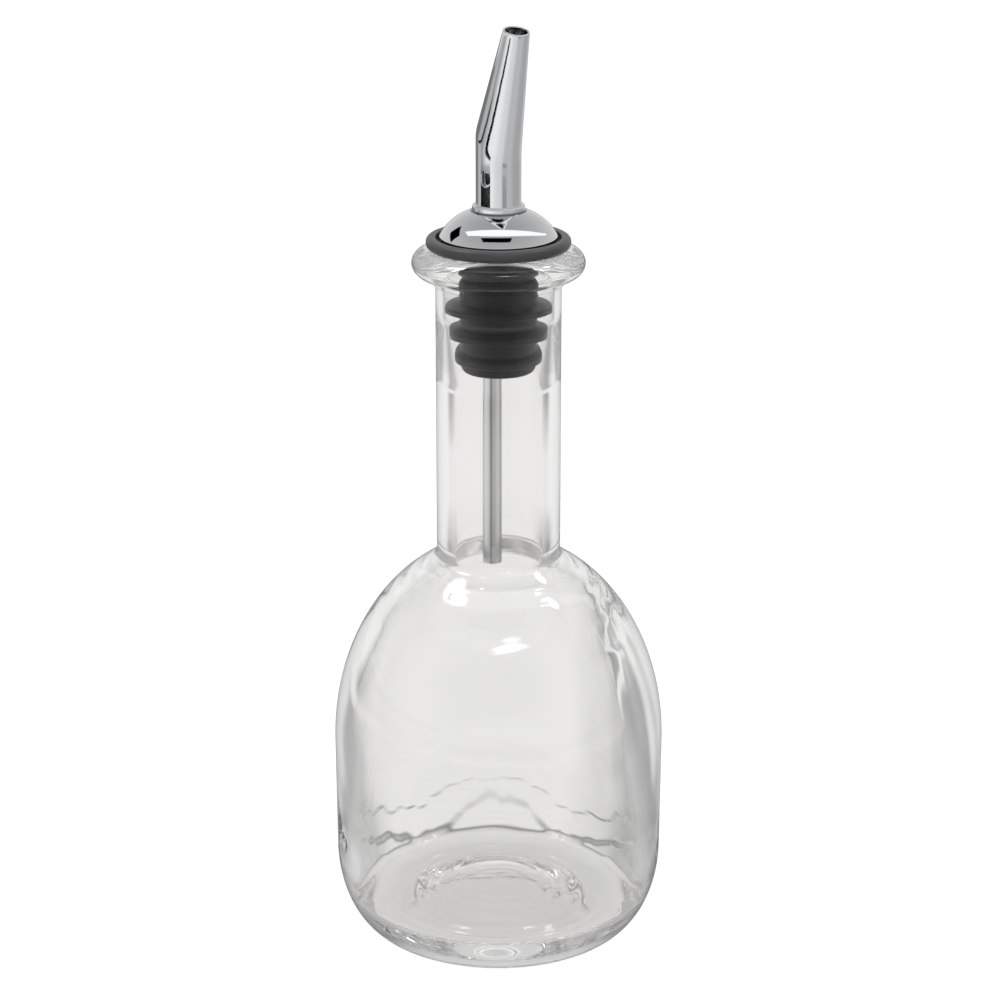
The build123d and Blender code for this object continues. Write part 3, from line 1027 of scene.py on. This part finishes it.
# %% Turn the breather tube and cut the vent
breather_outline = rounded([
    (0, BREATHER_TOP, 0),
    (BREATHER_RADIUS, BREATHER_TOP, 0.65),
    (BREATHER_RADIUS, RIM_HEIGHT - BREATHER_DROP, 0.12),
    (BREATHER_BORE, RIM_HEIGHT - BREATHER_DROP, 0.12),
    (BREATHER_BORE, BREATHER_TOP - BREATHER_CAP, 0.2),
    (0, BREATHER_TOP - BREATHER_CAP, 0),
])
breather_outline = cut_runs(breather_outline, longest=3.0)
breather = turn_profile(
    "breather_pipe", breather_outline, make_drawn_steel(), steps=64, axis=breather_place[:2]
)
for piece in (bottle, cork, collar, spout, breather):
    outward(piece)
VENT_FROM, PORT_FROM = 3.0, 2.3
port_width, port_length = VENT_WIDTH - BREATHER_CAP, VENT_LENGTH - BREATHER_CAP
cut_away(spout, rounded_bar("vent_bar", VENT_WIDTH, VENT_LENGTH, VENT_FROM, SPOUT_RADIUS * 2))
cut_away(breather, rounded_bar("port_bar", port_width, port_length, PORT_FROM, SPOUT_RADIUS))
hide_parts("spout")
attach(spout, "pourer")
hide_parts("breather_tube")
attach(breather, "pourer")

# %% [markdown]
# ## The studio
#
# Glass and chrome are pictures of the room they stand in. Clear glass on a white ground needs
# something grey at the sides, or its edges vanish. Photographers call it a bright field. So what
# the glass sees is bright straight behind the bottle and falls off towards the sides, on the
# floor and on the walls alike. The walls of a tube turn the view by up to 60 degrees at their
# edges, and that draws the outline. The neck looks far out over the floor and the body looks at
# what is near, so the two get tones of their own by distance, and a shade round the foot stands
# for the dark that gathers under a heavy base.
#
# Light Path tells the rays apart. The camera itself sees the floor as plain white. A ray through
# sharp glass counts as glossy too, so a mirror ray is a glossy one that isn't a transmission
# ray. And the gleam on the outside of sharp glass is a singular ray, while chrome, being a
# little rough, has none, so Is Singular Ray dims the gleam and leaves the chrome alone.

# %% Choose the studio's tones
# for glass: stops of (share of a half turn away from straight behind, tone)
FRONT_TONES = ((0.60, 0.78), (0.85, 0.3), (1.0, 0.3))
LEFT_TONES = (
    (0.0, 1.0), (0.15, 1.0), (0.20, 0.85), (0.25, 0.5), (0.29, 0.5), (0.36, 0.62), *FRONT_TONES,
)
RIGHT_TONES = (
    (0.0, 1.0), (0.10, 1.0), (0.17, 0.80), (0.23, 0.42), (0.28, 0.42), (0.36, 0.60), *FRONT_TONES,
)
NECK_TONES = ((0.0, 1.0), (0.22, 1.0), (0.27, 0.5), (0.31, 0.34), (0.36, 0.6), *FRONT_TONES)
# on the floor, in metres from the axis: where the body's view ends and the neck's begins
BODY_ENDS, NECK_STARTS = 0.28, 0.32
LOWER_NECK, UPPER_NECK, LOWER_NECK_STRENGTH = 0.38, 0.46, 0.15
# for chrome: stops of (share of a whole turn, with 0.5 at the camera and less to the left, tone)
MIRROR_TONES = (
    (0.0, 0.18), (0.139, 0.18), (0.172, 0.5), (0.211, 0.55), (0.239, 0.32), (0.278, 0.6),
    (0.328, 1.0), (0.403, 1.0), (0.467, 0.8), (0.528, 0.74), (0.569, 0.53), (0.667, 0.53),
    (0.736, 0.4), (0.833, 0.4), (0.917, 0.6), (1.0, 0.18),
)
GLASS_GLEAM_LOSS = 0.92
# under the base: stops of (share of the reach, tone)
FOOT_SHADE_REACH, FOOT_SHADE_WANDER = 60 * MM, 4 * MM
FOOT_SHADE_BACK, FOOT_SHADE_SQUEEZE = 30 * MM, 0.18
FOOT_SHADE = (
    (0.0, 0.84), (0.28, 0.84), (0.36, 0.80), (0.44, 0.86), (0.53, 0.94),
    (0.62, 0.82), (0.70, 0.34), (0.78, 0.78), (0.88, 1.0), (1.0, 1.0),
)
# on the floor, from the axis: where the tones for glass set in
TONES_START, TONES_FULL = 45 * MM, 75 * MM
print("tones for glass:", len(LEFT_TONES), "to the left,", len(RIGHT_TONES), "to the right")


# %% Tell the rays apart
def tone_behind_glass(tree, across, away, distance=None):
    """How bright a place is to the glass, from its turn away from straight behind the bottle."""
    turn = across.maths("ARCTAN2", away) * (1 / math.pi)
    near = tree.ramp(LEFT_TONES, turn * -1.0).at_most(tree.ramp(RIGHT_TONES, turn))
    if distance is None:
        return near
    far = tree.ramp(NECK_TONES, turn.maths("ABSOLUTE"))
    to_neck = distance.between(BODY_ENDS, NECK_STARTS)
    upper_neck = distance.between(LOWER_NECK, UPPER_NECK)
    far = 1.0 - (1.0 - far) * (upper_neck * (1 - LOWER_NECK_STRENGTH) + LOWER_NECK_STRENGTH)
    return near * (1.0 - to_neck) + far * to_neck


def tone_in_mirror(tree, across, away):
    """How bright a place is to chrome, from its turn away from the camera's side; brightest to the left."""
    turn = across.maths("ARCTAN2", away * -1.0) * (0.5 / math.pi) + 0.5
    return tree.ramp(MIRROR_TONES, turn)


def ray_kinds(tree):
    """1 or 0 for a ray from the camera, off a mirror and through glass; sharp glass counts as glossy too."""
    camera_ray = tree.node("ShaderNodeLightPath")
    glass_ray = sibling(camera_ray, "Is Transmission Ray")
    gleam = 1.0 - sibling(camera_ray, "Is Singular Ray") * GLASS_GLEAM_LOSS
    return camera_ray, sibling(camera_ray, "Is Glossy Ray") * (1.0 - glass_ray) * gleam, glass_ray


print("a gleam on glass keeps", round(1 - GLASS_GLEAM_LOSS, 2), "of its strength")

# %% Lay the floor
FLOOR_RADIUS, FLOOR_CORNERS = 3.0, 64
FLOOR_ALBEDO = 0.25
FLOOR_GLOW = 0.95
FLOOR_LIT, LIT_IN_MIRROR = 0.18, 0.4


def make_floor_paint():
    material, tree = new_material("pale_floor_paint")
    speck = noise(tree, 30, 2.0)
    shade = blend_colours(
        tree,
        speck,
        (FLOOR_ALBEDO * 0.99, FLOOR_ALBEDO * 0.99, FLOOR_ALBEDO, 1),
        (FLOOR_ALBEDO, FLOOR_ALBEDO, FLOOR_ALBEDO, 1),
    )
    paint = tree.node("ShaderNodeBsdfDiffuse", sockets={"Color": shade})
    across, away, _, distance = place_on_piece(tree)
    beyond = distance.between(TONES_START, TONES_FULL)
    wander = (noise(tree, 60, 2.0) - 0.5) * FOOT_SHADE_WANDER
    behind = away.between(0.0, FOOT_SHADE_BACK)
    from_foot = distance * (1.0 - behind * FOOT_SHADE_SQUEEZE) + wander
    foot_shade = tree.ramp(FOOT_SHADE, from_foot / FOOT_SHADE_REACH)
    toned = (tone_behind_glass(tree, across, away, distance) * beyond + 1.0 - beyond) * foot_shade - FLOOR_LIT
    camera_ray, glossy_ray, glass_ray = ray_kinds(tree)
    mirrored = (tone_in_mirror(tree, across, away) - FLOOR_LIT * LIT_IN_MIRROR).at_least(0.0)
    strength = camera_ray * FLOOR_GLOW + glossy_ray * mirrored + glass_ray * toned.at_least(0.0)
    glow = tree.node("ShaderNodeEmission", sockets={"Color": (1, 1, 1, 1), "Strength": strength})
    output(tree, tree.node("ShaderNodeAddShader", sockets={0: paint, 1: glow}))
    return material


def flat_sheet(name, corners, material):
    mesh = bpy.data.meshes.new(name)
    mesh.from_pydata(corners, [], [tuple(range(len(corners)))])
    mesh.materials.append(material)
    made = add_object(name, mesh)
    return made


FLOOR_LEVEL = -0.1 * MM
floor_edge = [
    (FLOOR_RADIUS * math.cos(turn), FLOOR_RADIUS * math.sin(turn), FLOOR_LEVEL)
    for turn in (math.tau * n / FLOOR_CORNERS for n in range(FLOOR_CORNERS))
]
floor = flat_sheet("studio_floor", floor_edge, make_floor_paint())
print("floor is", 2 * FLOOR_RADIUS, "m across")

# %% Light the room
FILL = 0.4
WALL_TONES, CEILING_TONES = ((0.0, 0.78), (1.0, 0.42)), ((0.1, 1.0), (0.6, 0.6))
world = bpy.data.worlds.new("studio_room")
bpy.context.scene.world = world
world.use_nodes = True
world.node_tree.nodes.clear()
room = Tree(world.node_tree)
across, away, up = room.split(room.node("ShaderNodeTexCoord", output="Generated"))
walls = room.ramp(WALL_TONES, up.at_least(0.0))
ceiling = room.ramp(CEILING_TONES, up.at_least(0.0))
camera_ray, glossy_ray, glass_ray = ray_kinds(room)
strength = (
    camera_ray * 1.0
    + glossy_ray * walls
    + glass_ray * tone_behind_glass(room, across, away) * ceiling
    + (1.0 - (camera_ray + glossy_ray + glass_ray)) * FILL
)
backdrop = room.node("ShaderNodeBackground", sockets={"Color": (1, 1, 1, 1), "Strength": strength})
room.node("ShaderNodeOutputWorld", sockets={"Surface": backdrop})
print("fill light", FILL)

# %% [markdown]
# ## Cards and lamps
#
# The chrome needs edges to mirror: a white band overhead with a dark lath before it, and black
# and grey cards at the sides. Only mirror rays see them, so they neither show through the glass
# nor light the floor. The lamps are dim and fade towards their rims, as the light of a softbox
# does, and they leave the soft gleams on the glass. Light linking keeps them off the chrome,
# where they would show as white dots.

# %% Hang the cards
MIDDLE = Vector((0, 0, 80 * MM))


def around_bottle(azimuth, elevation, distance):
    """A place seen from the bottle's middle; azimuth 0 is towards the camera, 90 to the right."""
    azimuth, elevation = math.radians(azimuth), math.radians(elevation)
    outward_way = Vector((math.sin(azimuth), -math.cos(azimuth), 0)) * math.cos(elevation)
    return MIDDLE + (outward_way + UP * math.sin(elevation)) * distance


def make_card_paper(tone):
    """Card of one tone, whatever light falls on it."""
    material, tree = new_material(f"card_{round(tone * 100)}")
    output(tree, tree.node("ShaderNodeEmission", sockets={"Color": (tone, tone, tone, 1), "Strength": 1.0}))
    return material


def hang(name, corners, paper):
    """A sheet that only mirrors can see."""
    sheet = flat_sheet(name, corners, paper)
    sheet.visible_camera = False
    sheet.visible_diffuse = False
    sheet.visible_transmission = False
    sheet.visible_shadow = False


def card(name, azimuth, elevation, distance, width, height, tone):
    """A card that faces the bottle."""
    centre = around_bottle(azimuth, elevation, distance)
    facing = (centre - MIDDLE).normalized()
    side = UP.cross(facing).normalized()
    rise = facing.cross(side)
    corners = [
        centre + side * (across * width / 2) + rise * (up * height / 2)
        for across, up in ((-1, -1), (1, -1), (1, 1), (-1, 1))
    ]
    hang(name, corners, make_card_paper(tone))


def overhead(name, left, right, front, depth, curl, height, tone, pieces=12):
    """A level band above the bottle, from left to right, whose ends curl away from the camera."""
    paper = make_card_paper(tone)
    for n in range(pieces):
        x, next_x = (left + (right - left) * (n + more) / pieces for more in (0, 1))
        y, next_y = (curl * side**2 - front for side in (x, next_x))
        corners = [(x, y - depth / 2, height), (next_x, next_y - depth / 2, height)]
        corners += [(next_x, next_y + depth / 2, height), (x, y + depth / 2, height)]
        hang(f"{name}_{n}", corners, paper)


def bars(name, start, end, distance, low, high, tone, pieces=6):
    """Upright cards that stand on an arc round the bottle, between two azimuths and two heights."""
    paper = make_card_paper(tone)
    for n in range(pieces):
        sides = [math.radians(start + (end - start) * (n + more) / pieces) for more in (0, 1)]
        left, right = (Vector((math.sin(side), -math.cos(side), 0)) * distance for side in sides)
        corners = [left + UP * low, right + UP * low, right + UP * high, left + UP * high]
        hang(f"{name}_{n}", corners, paper)


bars("black_bar", -100, -42, 400 * MM, 76 * MM, 96 * MM, 0.0)
bars("kink_bar", -120, -88, 400 * MM, 125 * MM, 134 * MM, 0.0)
bars("grey_bar", 19, 41, 400 * MM, 50 * MM, 94 * MM, 0.38)
overhead("white_band", -0.72, 1.45, 0.137, 0.24, 0.6, 1.0, 1.3)
overhead("dark_lath", -0.40, 0.30, 0.40, 0.18, 0.5, 0.98, 0.0)
card("patch_card", -122, 35, 1.05, 0.36, 0.28, 0.0)

# %% Light the lamps
lit = bpy.data.collections.new("lit_by_softboxes")
for piece in (bottle, cork, breather, floor):
    lit.objects.link(piece)


def softbox(name, azimuth, elevation, width, depth, power, distance=1.1):
    """A lamp aimed at the bottle's middle, full in its own middle and fading to nothing at its rim."""
    data = bpy.data.lights.new(name, "AREA")
    data.shape = "ELLIPSE"
    data.size = width
    data.size_y = depth
    data.energy = power
    data.use_nodes = True
    data.node_tree.nodes.clear()
    tree = Tree(data.node_tree)
    across, along, _ = tree.split(tree.node("ShaderNodeNewGeometry", output="Parametric"))
    off_centre = (across - 0.5) ** 2.0 + (along - 0.5) ** 2.0
    fade = (1.0 - off_centre * 4.0).at_least(0.0) * 2.0
    glow = tree.node("ShaderNodeEmission", sockets={"Strength": fade})
    tree.node("ShaderNodeOutputLight", sockets={"Surface": glow})
    lamp = add_object(name, data)
    lamp.location = around_bottle(azimuth, elevation, distance)
    lamp.rotation_euler = (MIDDLE - lamp.location).to_track_quat("-Z", "Y").to_euler()
    lamp.light_linking.receiver_collection = lit


softbox("left_softbox", -111, 60, 0.42, 0.32, 2.2)
softbox("right_softbox", 129, 57, 0.20, 0.14, 0.5)
softbox("small_softbox", 95, 54, 0.14, 0.20, 0.5)
softbox("front_softbox", 13, 49, 0.62, 0.09, 0.7)

# %% [markdown]
# ## Finish
#
# The view transform is Standard, so a colour renders as it is written. A ray that is caught in
# thick glass may meet its walls dozens of times before it gets out, and a ray that is given up
# leaves a black spot, so the bounces are set high.

# %% Set the view and the bounces
bpy.context.scene.view_settings.view_transform = "Standard"
BOUNCES = 64
bpy.context.scene.cycles.max_bounces = BOUNCES
bpy.context.scene.cycles.glossy_bounces = BOUNCES
bpy.context.scene.cycles.transmission_bounces = BOUNCES
